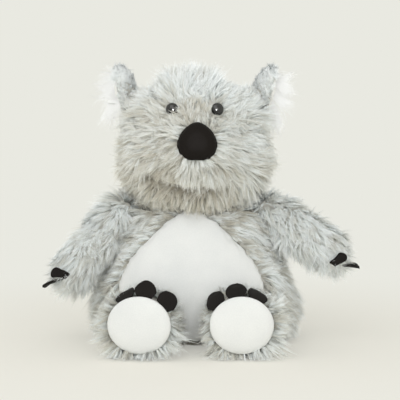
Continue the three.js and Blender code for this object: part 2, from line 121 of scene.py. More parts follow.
# Face
eye_radius = 0.0054
eye_dome = 0.004
eye_gaze = (0.28, 0.12)  # how far their axes turn outwards and up, for 1 forwards
mouth_middle = 0.003  # its lowest point
mouth_ends = (-0.036, 0.012)
mouth_height = 0.1347
mouth_rise = 0.0114  # how much higher its line lies at mouth_half from its middle
mouth_half = 0.045
mouth_depth = 0.0055
lip_reach = 0.002  # how far the lips stand out above and below the mouth
muzzle_rise = 0.0085  # how far the skin comes forward under the nose
nose_gap = 0.0105  # no strand grows nearer to the nose's axis than this
brow_height = 0.19  # the middle of the darker pile between the eyes
brow_half = (0.016, 0.011)  # about its half width and half height


def linear(red, green, blue):
    """A colour written as its three screen values, 0 to 255, as linear ones with full cover."""
    shares = [value / 255 for value in (red, green, blue)]
    return (*[s / 12.92 if s <= 0.04045 else ((s + 0.055) / 1.055) ** 2.4 for s in shares], 1)


def colours(*rows):
    return [linear(*row) for row in rows]


def smooth_step(low, high, value):
    share = np.clip((value - low) / (high - low), 0, 1)
    return share * share * (3 - 2 * share)


def unit(vectors):
    return vectors / np.maximum(np.linalg.norm(vectors, axis=-1, keepdims=True), 1e-9)


def dot(a, b):
    return np.sum(a * b, axis=-1, keepdims=True)


def ripple(points, wavelength, seed):
    """A smooth random field of three numbers, each about -1 to 1."""
    draw = np.random.default_rng(seed)
    field = np.zeros((len(points), 3))
    waves = 6
    for _ in range(waves):
        direction = unit(draw.normal(size=3)) * 2 * math.pi / (wavelength * draw.uniform(0.7, 1.4))
        phase = draw.uniform(0, 2 * math.pi, 3)
        field += np.sin((points @ direction)[:, None] + phase)
    return field / math.sqrt(waves)


# Materials


class Look:
    """A material of one shader, with its nodes made by short calls."""

    def __init__(self, name, roughness, specular, sheen=0.0):
        self.material = bpy.data.materials.new(name)
        self.material.use_nodes = True
        self.nodes = self.material.node_tree.nodes
        self.links = self.material.node_tree.links
        self.shader = self.nodes["Principled BSDF"]
        self.shader.inputs["Roughness"].default_value = roughness
        self.shader.inputs["Sheen Weight"].default_value = sheen
        self.shader.inputs["Sheen Roughness"].default_value = 0.5
        self.shader.inputs["Specular IOR Level"].default_value = specular

    def add(self, kind, inputs=(), **settings):
        node = self.nodes.new(kind)
        for key, value in settings.items():
            setattr(node, key, value)
        for name, value in dict(inputs).items():
            if isinstance(value, bpy.types.NodeSocket):
                self.links.new(value, node.inputs[name])
            else:
                node.inputs[name].default_value = value
        return node

    def place(self):
        return self.add("ShaderNodeNewGeometry").outputs["Position"]

    def noise(self, scale, detail=3.0):
        inputs = {"Vector": self.place(), "Scale": scale, "Detail": detail, "Roughness": 0.55}
        return self.add("ShaderNodeTexNoise", inputs).outputs["Fac"]

    def ramp(self, factor, stops):
        """stops are (position, colour)."""
        node = self.add("ShaderNodeValToRGB", {"Fac": factor})
        elements = node.color_ramp.elements
        while len(elements) < len(stops):
            elements.new(0.5)
        for element, (position, colour) in zip(elements, stops):
            element.position = position
            element.color = colour
        return node.outputs["Color"]

    def mix(self, factor, first, second):
        inputs = {"Factor": factor, 6: first, 7: second}
        return self.add("ShaderNodeMix", inputs, data_type="RGBA").outputs[2]

    def colour(self, socket):
        self.links.new(socket, self.shader.inputs["Base Color"])
        return self

    def bump(self, height, depth):
        inputs = {"Height": height, "Distance": depth, "Strength": 0.7}
        node = self.add("ShaderNodeBump", inputs)
        self.links.new(node.outputs["Normal"], self.shader.inputs["Normal"])
        return self


def pile_look(name, cool, warm, sheen):
    """Strands whose colour runs from root to tip, between a cool row of colours and a warm one."""
    look = Look(name, 0.75, specular=0.2, sheen=sheen)
    place = look.add("ShaderNodeUVMap", uv_map="OFBake").outputs["UV"]
    split = look.add("ShaderNodeSeparateXYZ", {"Vector": place})
    stops = (0.0, 0.35, 0.7, 1.0)
    cool_row = look.ramp(split.outputs["Y"], list(zip(stops, cool)))
    warm_row = look.ramp(split.outputs["Y"], list(zip(stops, warm)))
    return look.colour(look.mix(split.outputs["X"], cool_row, warm_row)).material


def cloth_look(name, dark, light, grain, depth, roughness=0.9, sheen=0.3):
    """Short-pile or woven cloth, with a fine grain of that size and broad soft patches."""
    look = Look(name, roughness, specular=0.1, sheen=sheen)
    dark, light = colours(dark, light)
    fine = look.noise(1 / grain, 2.0)
    broad = look.noise(35.0, 2.0)
    patches = look.ramp(broad, [(0.3, dark), (0.7, light)])
    specks = look.ramp(fine, [(0.25, dark), (0.75, light)])
    return look.colour(look.mix(0.5, patches, specks)).bump(fine, depth).material


def gloss_look(name, deep, colour, roughness):
    look = Look(name, roughness, specular=0.8)
    deep, colour = colours(deep, colour)
    return look.colour(look.ramp(look.noise(120.0), [(0.3, deep), (0.7, colour)])).material


# Rows from root to tip
grey_cool = colours((200, 204, 202), (232, 238, 237), (242, 248, 249), (250, 254, 255))
grey_warm = colours((146, 139, 122), (196, 191, 176), (228, 225, 213), (244, 243, 236))
white_cool = colours((232, 234, 235), (239, 241, 241), (243, 245, 245), (246, 248, 248))
white_warm = colours((222, 223, 221), (232, 233, 232), (239, 240, 239), (243, 244, 243))
backdrop_colour = linear(233, 233, 225)
sky_colour = linear(255, 254, 250)
floor_colours = colours((243, 240, 229), (246, 243, 233))

# A cloth's colours are followed by the size of its grain and how deep that is
looks = {
    "pile": pile_look("grey_pile", grey_cool, grey_warm, 0.25),
    "wisp": pile_look("white_pile", white_cool, white_warm, 0.7),
    "backing": cloth_look("plush_backing", (190, 188, 180), (212, 211, 205), 0.0012, 0.0003),
    "smooth": cloth_look("smooth_plush", (219, 222, 222), (232, 234, 233), 0.0009, 0.00012),
    "lining": cloth_look("ear_lining", (236, 237, 236), (250, 251, 251), 0.001, 0.0002),
    "felt": cloth_look("black_felt", (22, 20, 19), (35, 32, 30), 0.0007, 0.00012, sheen=0.05),
    "satin": cloth_look("black_satin", (19, 16, 13), (27, 22, 19), 0.0006, 0.00005, 0.7, 0.0),
    "eye": gloss_look("eye_gloss", (8, 8, 8), (14, 13, 13), 0.05),
    "washer": gloss_look("washer_plastic", (205, 210, 210), (222, 226, 226), 0.4),
    "fibre": cloth_look("fibre_fill", (226, 222, 210), (246, 244, 237), 0.0008, 0.0006),
    "cotton": cloth_look("pouch_cotton", (214, 200, 172), (232, 222, 200), 0.0006, 0.0001),
    "grain": cloth_look("grain_fill", (172, 128, 62), (222, 186, 120), 0.0022, 0.0008),
}


# Meshes


def object_of(name, mesh, look):
    """A new object with one material, shaded smooth."""
    made = bpy.data.objects.new(name, mesh)
    bpy.context.scene.collection.objects.link(made)
    mesh.materials.clear()
    mesh.materials.append(looks[look])
    mesh.shade_smooth()
    return made


def solid_of(nodes):
    """The solids of some CAD nodes as one mesh, with shared corners."""
    work = bmesh.new()
    for node in nodes:
        work.from_mesh(frame["nodes"][node].data)
    bmesh.ops.remove_doubles(work, verts=work.verts, dist=1e-6)
    mesh = bpy.data.meshes.new(nodes[0])
    work.to_mesh(mesh)
    work.free()
    return mesh


def hull_of(nodes):
    work = bmesh.new()
    work.from_mesh(solid_of(nodes))
    hull = bmesh.ops.convex_hull(work, input=work.verts)
    loose = [v for v in work.verts if v not in set(hull["geom"])]
    bmesh.ops.delete(work, geom=loose, context="VERTS")
    inner = [g for g in hull["geom_interior"] if isinstance(g, bmesh.types.BMVert) and g.is_valid]
    bmesh.ops.delete(work, geom=inner, context="VERTS")
    mesh = bpy.data.meshes.new(nodes[0])
    work.to_mesh(mesh)
    work.free()
    return mesh


def apply_modifiers(piece):
    graph = bpy.context.evaluated_depsgraph_get()
    mesh = bpy.data.meshes.new_from_object(piece.evaluated_get(graph))
    piece.modifiers.clear()
    piece.data = mesh
    return piece


def remeshed(piece, voxel, rounds):
    """Even quads of one size, smoothed some rounds."""
    cut = piece.modifiers.new("even", "REMESH")
    cut.mode = "VOXEL"
    cut.voxel_size = voxel
    cut.use_smooth_shade = True
    relax = piece.modifiers.new("relax", "SMOOTH")
    relax.factor = 0.5
    relax.iterations = rounds
    return apply_modifiers(piece)


def points_of(mesh):
    points = np.empty(len(mesh.vertices) * 3, np.float32)
    mesh.vertices.foreach_get("co", points)
    return points.reshape(-1, 3).astype(float)


def normals_of(mesh):
    normals = np.empty(len(mesh.vertices) * 3, np.float32)
    mesh.vertex_normals.foreach_get("vector", normals)
    return normals.reshape(-1, 3).astype(float)


def set_points(mesh, points):
    mesh.vertices.foreach_set("co", points.astype(np.float32).ravel())
    mesh.update()


def moved_out(piece, distance):
    """Moves the surface along its normals, by one distance or by one for each vertex."""
    points, normals = points_of(piece.data), normals_of(piece.data)
    set_points(piece.data, points + normals * np.reshape(distance, (-1, 1)))


def swell(pieces):
    """Blows up closed skins by cloth simulation. pieces is [(object, most that a point moves)]."""
    for piece, _ in pieces:
        cloth = piece.modifiers.new("swell", "CLOTH")
        cloth.settings.quality = 4
        cloth.settings.use_pressure = True
        cloth.settings.uniform_pressure_force = swell_pressure
        cloth.settings.effector_weights.gravity = 0
        cloth.collision_settings.use_collision = False
    for step in range(1, swell_frames + 1):
        bpy.context.scene.frame_set(step)
    graph = bpy.context.evaluated_depsgraph_get()
    results = [points_of(piece.evaluated_get(graph).data) for piece, _ in pieces]
    for (piece, cap), result in zip(pieces, results):
        piece.modifiers.clear()
        rest = points_of(piece.data)
        move = result - rest
        move -= move.mean(axis=0)
        reach = np.linalg.norm(move, axis=1, keepdims=True)
        set_points(piece.data, rest + move * np.minimum(1, cap / np.maximum(reach, 1e-9)))
    bpy.context.scene.frame_set(1)


def finished(piece, body, nodes, levels=1):
    """Subdivides a piece, puts it on its body and hides the CAD nodes that it stands for."""
    if levels:
        fine = piece.modifiers.new("fine", "SUBSURF")
        fine.levels = fine.render_levels = levels
    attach(piece, body)
    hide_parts(*nodes)


# Pile


def scattered(mesh, per_area, draw):
    """Random points on a mesh, with their normals."""
    mesh.calc_loop_triangles()
    corners = np.empty(len(mesh.loop_triangles) * 3, np.int32)
    mesh.loop_triangles.foreach_get("vertices", corners)
    corners = corners.reshape(-1, 3)
    points, normals = points_of(mesh), normals_of(mesh)
    a, b, c = (points[corners[:, k]] for k in range(3))
    areas = np.linalg.norm(np.cross(b - a, c - a), axis=1) / 2
    count = round(areas.sum() * per_area)
    face = draw.choice(len(areas), count, p=areas / areas.sum())
    root, other = np.sqrt(draw.random(count)), draw.random(count)
    shares = np.stack([1 - root, root * (1 - other), root * other], 1)
    place = np.einsum("nk,nkd->nd", shares, points[corners[face]])
    normal = unit(np.einsum("nk,nkd->nd", shares, normals[corners[face]]))
    return place, normal


class Pile:
    """How a piece's pile is cut: its length, how its locks stand, and the strands in each.
    lean is in degrees off the skin's normal. tuft is how far a lock's tip is drawn to the middle
    of its tuft, and gap how much painted shade darkens the strands between two tufts. own_normal
    is how far a strand is shaded by its own face."""

    def __init__(
        self, length, gap=0.3, lean=42, strands=6, spacing=0.0016, width=0.00045, droop=0.14,
        curl=0.3, tightness=0.5, stray=0.14, tuft=0.5, own_normal=0.4, look="pile", slot="grey_plush",
    ):
        self.length = length
        self.gap = gap
        self.lean = math.radians(lean)
        self.strands = strands
        self.per_area = 1 / spacing**2
        self.width = width
        self.droop = droop
        self.curl = curl
        self.tightness = tightness
        self.stray = stray
        self.tuft = tuft
        self.own_normal = own_normal
        self.look = look
        self.slot = slot


piles = {
    "head": Pile(0.0128, gap=0.36),
    "torso": Pile(0.0155, gap=0.55, lean=47),
    "arm": Pile(0.012, gap=0.42, lean=50),
    "leg": Pile(0.0115, gap=0.55, lean=30),
    "ring": Pile(0.0125, gap=0.5, lean=math.degrees(1), curl=0.1, tuft=1.0, stray=0.2),
    "ear": Pile(0.0046, gap=0.0, lean=58, spacing=0.0011, droop=0.02, tuft=0.1, own_normal=0.15),
    "wisps": Pile(
        0.031, gap=0.0, lean=50, strands=12, spacing=0.003, width=0.00028, droop=0.08, curl=0.1,
        tightness=4.0, stray=0.1, tuft=0.0, own_normal=0.2, look="wisp", slot="white_plush",
    ),
}


class Lock:
    """What a comb says of each lock: the way it lies, its share of the pile's length and lean, its
    tone from cool to warm, how far its colour runs from root to tip, whether it is kept, how it
    bends besides, and the way its strands face where that isn't their skin's normal."""

    def __init__(
        self, points, way, share=1.0, lean=1.0, tone=0.1, tip=1.0, kept=True, bend=0.0, facing=0.0
    ):
        count = len(points)
        self.way = way + np.zeros((count, 3))
        self.share = share + np.zeros(count)
        self.lean = lean + np.zeros(count)
        self.tone = tone + np.zeros(count)
        self.tip = tip + np.zeros(count)
        self.kept = kept & np.ones(count, bool)
        self.bend = bend + np.zeros((count, 3))
        self.facing = facing + np.zeros((count, 3))

    def only(self, kept):
        """The same values for the locks that are kept."""
        for key, value in vars(self).items():
            setattr(self, key, value[kept])
        return self


def to_tuft(roots, draw):
    """From each lock's root to the root of the nearest of those that tufts gather round."""
    chosen = np.flatnonzero(draw.random(len(roots)) < tuft_share)
    tree = KDTree(len(chosen))
    for index in chosen:
        tree.insert(Vector(roots[index]), int(index))
    tree.balance()
    return roots[[tree.find(Vector(root))[1] for root in roots]] - roots


def lit(normals, ahead=0.5, up=0.3):
    """A facing that turns a skin's normals somewhat to the front and up."""
    return normals + [0, -ahead, up]


def locks_of(skin, pile, comb, draw, seed):
    """An array for each of a lock's values: its root, its skin's normal, the way that it lies and
    the one in which it starts, how it bends, its length, its tone and tip, and its facing."""
    root, normal = scattered(skin.data, pile.per_area, draw)
    lock = comb(root, normal)
    kept = lock.kept
    root, normal, lock = root[kept], normal[kept], lock.only(kept)
    count = len(root)

    way = lock.way + 0.4 * ripple(root, 0.026, seed) + 0.5 * ripple(root, 0.009, seed + 3)
    way = way + 0.24 * draw.normal(size=(count, 3))
    way = unit(way - dot(way, normal) * normal)
    stir = 0.18 * ripple(root, 0.017, seed + 1)[:, 0] + 0.2 * ripple(root, 0.006, seed + 4)[:, 0]
    lean = pile.lean * lock.lean * (1 + stir + 0.14 * draw.normal(size=count))
    lean = np.clip(lean, 0.05, 1.35)[:, None]
    start = np.cos(lean) * normal + np.sin(lean) * way
    reach = 1 + 0.12 * ripple(root, 0.02, seed + 2)[:, 0] + 0.1 * draw.normal(size=count)
    reach *= pile.length * lock.share
    droop = lock.bend + pile.curl * way - 0.12 * normal + np.array([0, 0, -pile.droop])
    inwards = to_tuft(root, draw)
    droop = droop + pile.tuft * inwards / np.maximum(reach, 0.004)[:, None]
    # Painted shade: the strands between two tufts turn warmer and darker, by the pile's gap
    between = smooth_step(tuft_near, tuft_far, np.linalg.norm(inwards, axis=1))
    tip = lock.tip * draw.uniform(0.8, 1, count) * (1 - pile.gap * between)
    tone = lock.tone + pile.gap * between
    facing = np.where(np.any(lock.facing, axis=1)[:, None], lock.facing, normal)
    return root, normal, way, start, droop, reach, tone, tip, facing


def strands_of(locks, pile, draw):
    """Each strand's corners, the normal that it is shaded by, its tone and its tip."""
    root, normal, way, start, droop, reach, tone, tip, facing = (
        np.repeat(values, pile.strands, axis=0) for values in locks
    )
    total = len(root)
    across = unit(np.cross(start, facing) + 1e-6)
    turn = draw.uniform(0, 2 * math.pi, (total, 1))
    radius = lock_radius * np.sqrt(draw.random((total, 1)))
    offset = radius * (np.cos(turn) * across + np.sin(turn) * way)
    loose = draw.random((total, 1)) < pile.stray
    tip_offset = np.where(loose, loose_spread, pile.tightness) * offset
    tip_offset = tip_offset + 0.0006 * draw.normal(size=(total, 3))
    reach = reach[:, None] * draw.uniform(0.72, 1.12, (total, 1)) * np.where(loose, loose_reach, 1)
    reach = np.maximum(reach, 0.001)
    twist = 0.5 * draw.normal(size=(total, 1))
    width = pile.width * draw.uniform(0.75, 1.2, (total, 1)) * np.where(loose, loose_width, 1)
    side = np.cos(twist) * across + np.sin(twist) * unit(np.cross(across, start))
    side *= np.sign(dot(np.cross(side, start), facing))

    wave = 0.0004 * draw.normal(size=(total, 1)) * side
    spine = [
        root - root_depth * normal
        + offset + level * (tip_offset - offset)
        + reach * (level * start + level * level * droop)
        + math.sin(level * 2 * math.pi) * wave
        for level in strand_levels
    ]
    halves = [0.5 * share * width * side for share in strand_widths]
    edges = [point + sign * half for point, half in zip(spine, halves) for sign in (-1, 1)]
    corners = np.stack([*edges, spine[-1]], 1)
    under = floor_clearance - corners[..., 2]
    corners[..., 2] += np.where(under > 0, (1 + floor_fold) * under, 0)
    shade = unit(pile.own_normal * unit(np.cross(side, start)) + (1 - pile.own_normal) * facing)
    tone = np.clip(tone + 0.16 * draw.normal(size=total), 0.02, 0.96)
    return corners, shade, tone, tip


def strand_mesh(name, corners, tone, tip):
    """Tapered ribbons, each of two quads and a tip. The map holds each one's tone across, and root
    to tip up."""
    count, each = corners.shape[:2]
    faces = np.array([0, 1, 3, 2, 2, 3, 5, 4, 4, 5, 6])
    starts = (np.arange(count)[:, None] * len(faces) + [0, 4, 8]).ravel()
    loops = (np.arange(count)[:, None] * each + faces).ravel()
    mesh = bpy.data.meshes.new(name)
    mesh.vertices.add(count * each)
    mesh.vertices.foreach_set("co", corners.astype(np.float32).ravel())
    mesh.loops.add(len(loops))
    mesh.loops.foreach_set("vertex_index", loops.astype(np.int32))
    mesh.polygons.add(len(starts))
    mesh.polygons.foreach_set("loop_start", starts.astype(np.int32))
    mesh.update(calc_edges=True)
    up = strand_levels[[0, 0, 1, 1, 2, 2, 3]]
    right = np.array([0, 0.02, 0, 0.02, 0, 0.02, 0.01])
    places = np.empty((count, len(faces), 2), np.float32)
    places[..., 0] = tone[:, None] + right[faces]
    places[..., 1] = 0.02 + 0.96 * tip[:, None] * up[faces]
    mesh.uv_layers.new(name="OFBake").data.foreach_set("uv", places.ravel())
    return mesh


def grown(name, skin, body, kind, comb, seed):
    """Grows a pile of that kind on a skin, whose locks lie as comb(points, normals) says."""
    pile = piles[kind]
    draw = np.random.default_rng(seed)
    locks = locks_of(skin, pile, comb, draw, seed)
    corners, shade, tone, tip = strands_of(locks, pile, draw)
    pieces = math.ceil(len(corners) / most_strands)
    for index, block in enumerate(np.array_split(np.arange(len(corners)), pieces)):
        mesh = strand_mesh(f"{name}_pile_{index + 1}", corners[block], tone[block], tip[block])
        made = object_of(mesh.name, mesh, pile.look)
        shades = np.repeat(shade[block], corners.shape[1], axis=0)
        mesh.normals_split_custom_set_from_vertices(shades)
        # Thin white hair lets light through
        made.visible_shadow = made.visible_diffuse = pile.look != "wisp"
        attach(made, body)


# Skins


def centre_of(node):
    low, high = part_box(node)
    return np.array((low + high) / 2)


def padded_copy(name, nodes, look, voxel, rounds=3):
    return remeshed(object_of(name, solid_of(nodes), look), voxel, rounds)


def flat_frame(node):
    """A flat node's two ends along its own axes, and those axes: across, up, and square to it and
    forwards."""
    points = points_of(frame["nodes"][node].data)
    _, axes = np.linalg.eigh(np.cov(points.T))
    ahead = axes[:, 0] * -np.sign(axes[1, 0])
    across = unit(np.cross(ahead, [0, 0, 1])) * -1
    up = np.cross(ahead, across)
    local = points @ np.stack([across, up, ahead], 1)
    low, high = local.min(axis=0), local.max(axis=0)
    return low, high, np.stack([across, up, ahead], 1)


def sole_mesh(name, node, sides=56, rings=20):
    """A round-edged oval pad that fills its node, with its rim set back from its crown."""
    low, high, axes = flat_frame(node)
    middle, half = (low + high) / 2, (high - low) / 2
    rim = low[2] + (high[2] - low[2]) * sole_rim
    work = bmesh.new()
    loops = []
    for ring in range(1, rings):
        slope = math.pi * ring / rings
        level = rim - math.cos(slope) * (high[2] - rim if ring > rings / 2 else rim - low[2])
        loop = []
        for side in range(sides):
            turn = 2 * math.pi * side / sides
            reach = np.array([math.cos(turn) * half[0], math.sin(turn) * half[1]]) * math.sin(slope)
            loop.append(work.verts.new(axes @ np.array([*(middle[:2] + reach), level])))
        loops.append(loop)
    for level, loop in ((low[2], loops[0][::-1]), (high[2], loops[-1])):
        pole = work.verts.new(axes @ np.array([*middle[:2], level]))
        for first, second in zip(loop, loop[1:] + loop[:1]):
            work.faces.new((first, second, pole))
    for below, above in zip(loops, loops[1:]):
        for k in range(sides):
            work.faces.new((below[k], below[(k + 1) % sides], above[(k + 1) % sides], above[k]))
    bmesh.ops.recalc_face_normals(work, faces=work.faces)
    mesh = bpy.data.meshes.new(name)
    work.to_mesh(mesh)
    work.free()
    return mesh


torso_skin = object_of("torso_plush", hull_of(["body_cover", "belly_panel"]), "backing")
remeshed(torso_skin, skin_voxel, 3)
moved_out(torso_skin, -pile_depth["torso"])
head_nodes = ["head_stuffing", "left_eye_washer", "right_eye_washer"]
head_skin = padded_copy("head_plush", head_nodes, "backing", head_voxel, 5)
belly_pad = padded_copy("belly_front", ["belly_panel"], "smooth", pad_voxel, 6)
nose_pad = padded_copy("nose_pad", ["nose"], "satin", nose_voxel, 6)

limb_skins = {}
soles = {}
for name in flanks:
    for limb in ("arm", "leg"):
        body = f"{name}_{limb}"
        limb_skins[body] = padded_copy(f"{body}_plush", [f"{body}_stuffing"], "backing", skin_voxel)
    soles[name] = object_of(f"{name}_sole", sole_mesh(f"{name}_sole", f"{name}_sole_pad"), "smooth")

swelling = [(torso_skin, "torso"), (head_skin, "head"), (belly_pad, "belly"), (nose_pad, "nose")]
swelling += [(skin, "limb") for skin in limb_skins.values()]
swelling += [(sole, "sole") for sole in soles.values()]
swell([(piece, swell_most[kind]) for piece, kind in swelling])


# Head


def eye_axis(side):
    return unit(np.array([side * eye_gaze[0], -1, eye_gaze[1]]))


def eye_base(name, side):
    """The middle of the dome's flat back, from the front end of its CAD solid."""
    points = points_of(frame["nodes"][f"{name}_eye"].data)
    tip = points[np.argmax(points @ eye_axis(side))]
    return tip - eye_dome * eye_axis(side)


def make_eye(name, side):
    """A glossy dome with a rounded rim, turned about its axis."""
    work = bmesh.new()
    steps = 10
    profile = [(0.0, -0.0012), (eye_radius * 0.8, -0.001)]
    for step in range(steps + 1):
        angle = math.pi / 2 * step / steps
        profile.append((eye_radius * math.cos(angle), eye_dome * math.sin(angle)))
    vertices = [work.verts.new((radius, 0, height)) for radius, height in profile]
    edges = [work.edges.new(pair) for pair in zip(vertices, vertices[1:])]
    bmesh.ops.spin(
        work, geom=vertices + edges, axis=(0, 0, 1), cent=(0, 0, 0), angle=2 * math.pi, steps=40,
        use_duplicate=False,
    )
    bmesh.ops.remove_doubles(work, verts=work.verts, dist=1e-6)
    bmesh.ops.recalc_face_normals(work, faces=work.faces)
    mesh = bpy.data.meshes.new(f"{name}_eye_dome")
    work.to_mesh(mesh)
    work.free()
    axis = Vector(eye_axis(side))
    turn = axis.to_track_quat("Z", "Y").to_matrix().to_4x4()
    turn.translation = Vector(eye_base(name, side))
    mesh.transform(turn)
    made = object_of(mesh.name, mesh, "eye")
    finished(made, "head", [f"{name}_eye"])


def about_mouth(points):
    """How far points lie above the mouth's line, and 1 along it, falling to 0 past its corners."""
    line = mouth_height + mouth_rise * ((points[:, 0] - mouth_middle) / mouth_half) ** 2
    left, right = mouth_ends
    wide = smooth_step(left - 0.008, left + 0.004, points[:, 0])
    wide = wide * smooth_step(right + 0.012, right - 0.004, points[:, 0])
    return points[:, 2] - line, wide * (points[:, 1] < -0.02)


def beside_nose(points):
    """How far points of the face lie from the nose's axis, and a long way for those behind."""
    flat = np.linalg.norm((points - centre_of("nose"))[:, [0, 2]], axis=1)
    return np.where(points[:, 1] < 0, flat, 1)


def shape_face():
    """A groove along the mouth between two lips, and a rise that the nose sits on."""
    points = points_of(head_skin.data)
    above, wide = about_mouth(points)
    groove = np.exp(-((above / 0.003) ** 2))
    lips = np.exp(-(((above - 0.008) / 0.004) ** 2))
    lips = lips + 0.7 * np.exp(-(((above + 0.008) / 0.004) ** 2))
    moved_out(head_skin, wide * (lip_reach * lips - mouth_depth * groove))
    points = points_of(head_skin.data)
    points[:, 1] -= muzzle_rise * smooth_step(0.032, 0.008, beside_nose(points))
    set_points(head_skin.data, points)


def head_comb(points, normals):
    """Away from the nose over the face, back over the crown and down behind."""
    nose = centre_of("nose")
    away = points - nose
    distance = np.linalg.norm(away, axis=1)
    face = smooth_step(0.02, -0.03, points[:, 1])
    behind = smooth_step(0.0, 0.03, points[:, 1])[:, None]
    way = (1 - behind) * unit(away) + behind * np.array([0, 1.0, -1.0])
    way = way + (1 - behind) * np.array([0, 0, -0.12])
    by_nose = smooth_step(0.028, 0.014, beside_nose(points))
    share = 0.85 + 0.15 * smooth_step(0.02, 0.045, distance)
    kept = beside_nose(points) > nose_gap
    kept &= ~((points[:, 2] < 0.1195) & (normals[:, 2] < -0.8))
    cheek = smooth_step(0.03, 0.05, np.abs(points[:, 0])) * smooth_step(0.195, 0.14, points[:, 2])
    share *= 1 + 0.5 * cheek
    # The lower face is warmer and darker: partly the pile's beige undertone, partly painted shade
    # with the floor's warm bounce light
    tone = 0.34 + 0.3 * smooth_step(0.175, 0.135, points[:, 2]) * face
    tip = 1 - 0.16 * smooth_step(0.175, 0.125, points[:, 2]) * face
    brow = np.exp(
        -((points[:, 0] / brow_half[0]) ** 2) - ((points[:, 2] - brow_height) / brow_half[1]) ** 2
    ) * face
    # The brow between the eyes is warmer; the face's right side is cooler and lighter, as painted
    # light
    tone += 0.4 * brow - 0.3 * smooth_step(0.005, 0.045, points[:, 0]) * face
    beside = smooth_step(0.02, 0.045, np.abs(points[:, 0])) * face
    tip *= (1 - 0.25 * brow) * (1 + 0.16 * beside)

    above, wide = about_mouth(points)
    # Painted shade along the mouth's groove: the strands there are short, warm and dark
    crease = np.exp(-(((above + 0.001) / 0.0032) ** 2)) * wide
    room = np.where(above > 0, 0.1 + above / 0.015, 0.25 - above / 0.01)  # not over the groove
    share = (1 - wide) * share + wide * np.minimum(share, room)
    # Painted light on the upper lip's right half: cooler, lighter strands
    muzzle = wide * smooth_step(0.002, 0.008, above) * smooth_step(-0.02, 0.005, points[:, 0])
    tone += 0.8 * crease - 0.22 * muzzle
    tip *= (1 - 0.8 * crease) * (1 + 0.15 * muzzle)
    lip = np.exp(-(((above - 0.006) / 0.004) ** 2)) * wide
    way = way + lip[:, None] * np.array([0, 0, -0.7])

    corner = smooth_step(0.025, 0.05, np.abs(points[:, 0]))
    corner = corner * smooth_step(0.178, 0.192, points[:, 2])
    share *= 1 + 0.5 * corner
    tuft = smooth_step(0.2, 0.211, points[:, 2])
    tuft = tuft * smooth_step(0.027, 0.012, np.abs(points[:, 0] + 0.004))
    share *= 1 + 1.1 * tuft
    # Painted light on top of the crown: cooler, lighter strands
    crown = smooth_step(0.192, 0.208, points[:, 2])
    tone -= 0.25 * crown
    tip *= 1 + 0.3 * crown
    for name, side in flanks.items():
        base = eye_base(name, side)
        gap = points - base
        gap -= dot(gap, eye_axis(side)) * eye_axis(side)
        near = np.linalg.norm(gap, axis=1)
        front = points[:, 1] < 0
        kept &= ~((near < eye_radius) & front)
        hold = (0.9 if side < 0 else 1.4) * smooth_step(0.015, 0.006, near)[:, None] * front[:, None]
        way = way + hold * unit(gap)
        share *= np.where(front, 0.7 + 0.3 * smooth_step(0.005, 0.014, near), 1)
    lean = 0.75 + 0.35 * smooth_step(0.2, 0.17, points[:, 2]) + 0.2 * behind[:, 0]
    lean *= (1 - 0.6 * tuft) * (1 - 0.3 * cheek) * (1 - 0.35 * corner) * (1 - 0.5 * by_nose)
    return Lock(points, way, share, lean, tone, tip, kept, facing=lit(normals, 0.4, 0.2))


def make_head():
    shape_face()
    finished(head_skin, "head", ["head_cover"])
    finished(nose_pad, "head", ["nose"])
    for name, side in flanks.items():
        make_eye(name, side)
        washer = frame["nodes"][f"{name}_eye_washer"]
        washer.data.materials.clear()
        washer.data.materials.append(looks["washer"])
    grown("head", head_skin, "head", "head", head_comb, 11)


# Torso


def torso_comb(points, normals):
    """Out and down over the flanks, straight down behind, away from the belly panel's upper edges,
    and none where the panel lies."""
    front = smooth_step(0.01, -0.02, points[:, 1])[:, None]
    sideways = np.clip(points[:, 0:1] / 0.04, -1, 1)
    behind = 1 - front
    way = np.hstack([sideways * (0.3 + 0.7 * front), 0.15 * behind, -0.75 - 0.25 * behind])
    tree = BVHTree.FromObject(belly_pad, bpy.context.evaluated_depsgraph_get())
    ahead = Vector((0, -1, 0))
    middle = centre_of("belly_panel")
    beyond = points + belly_overlap * unit((points - middle) * [1, 0, 1]) + [0, 0.004, 0]
    over = [y < 0 and tree.ray_cast(Vector((x, y, z)), ahead)[0] is not None for x, y, z in beyond]
    kept = ~np.array(over) & ~((points[:, 2] > 0.107) & (normals[:, 2] > 0.95))
    high, low = smooth_step(0.092, 0.106, points[:, 2]), smooth_step(0.02, 0.01, points[:, 2])
    nape = high * smooth_step(-0.012, 0.012, points[:, 1])
    share = 1 - 0.35 * smooth_step(0.5, 0.9, -normals[:, 2])
    aside = points[:, 0] - middle[0]
    edge = np.abs(aside) + points[:, 2] - belly_slope
    collar = smooth_step(0.02, 0.004, edge) * smooth_step(0.05, 0.07, points[:, 2]) * front[:, 0]
    share *= 1 - 0.4 * collar
    outwards = np.sign(aside)[:, None] * [1.2, 0, 0] + [0, 0, 0.9]
    way = way + collar[:, None] * outwards
    # Painted shade between the legs, low on the front: the pile there is warm and dark
    between = low * smooth_step(0.034, 0.02, np.abs(points[:, 0])) * front[:, 0]
    # Warmer and darker towards the floor, as painted warm shade from the floor's bounce light, and
    # warmer and darker just under the head
    tone = 0.08 + 0.1 * smooth_step(0.04, 0.0, points[:, 2])
    tone += 0.2 * smooth_step(0.095, 0.112, points[:, 2])
    tone += between
    tip = 1.2 - 0.9 * between
    return Lock(points, way, share, 1 - 0.7 * nape, tone, tip, kept, facing=lit(normals))


def crease_belly():
    """A soft vertical fold low on the belly, and slack wrinkles near its top."""
    points = points_of(belly_pad.data)
    fold = np.exp(-(((points[:, 0] + 0.004) / 0.0022) ** 2)) * smooth_step(0.055, 0.03, points[:, 2])
    slack = ripple(points * [1, 1, 0.35], 0.02, 5)[:, 0] * smooth_step(0.07, 0.105, points[:, 2])
    moved_out(belly_pad, -0.0016 * fold + 0.0003 * slack)


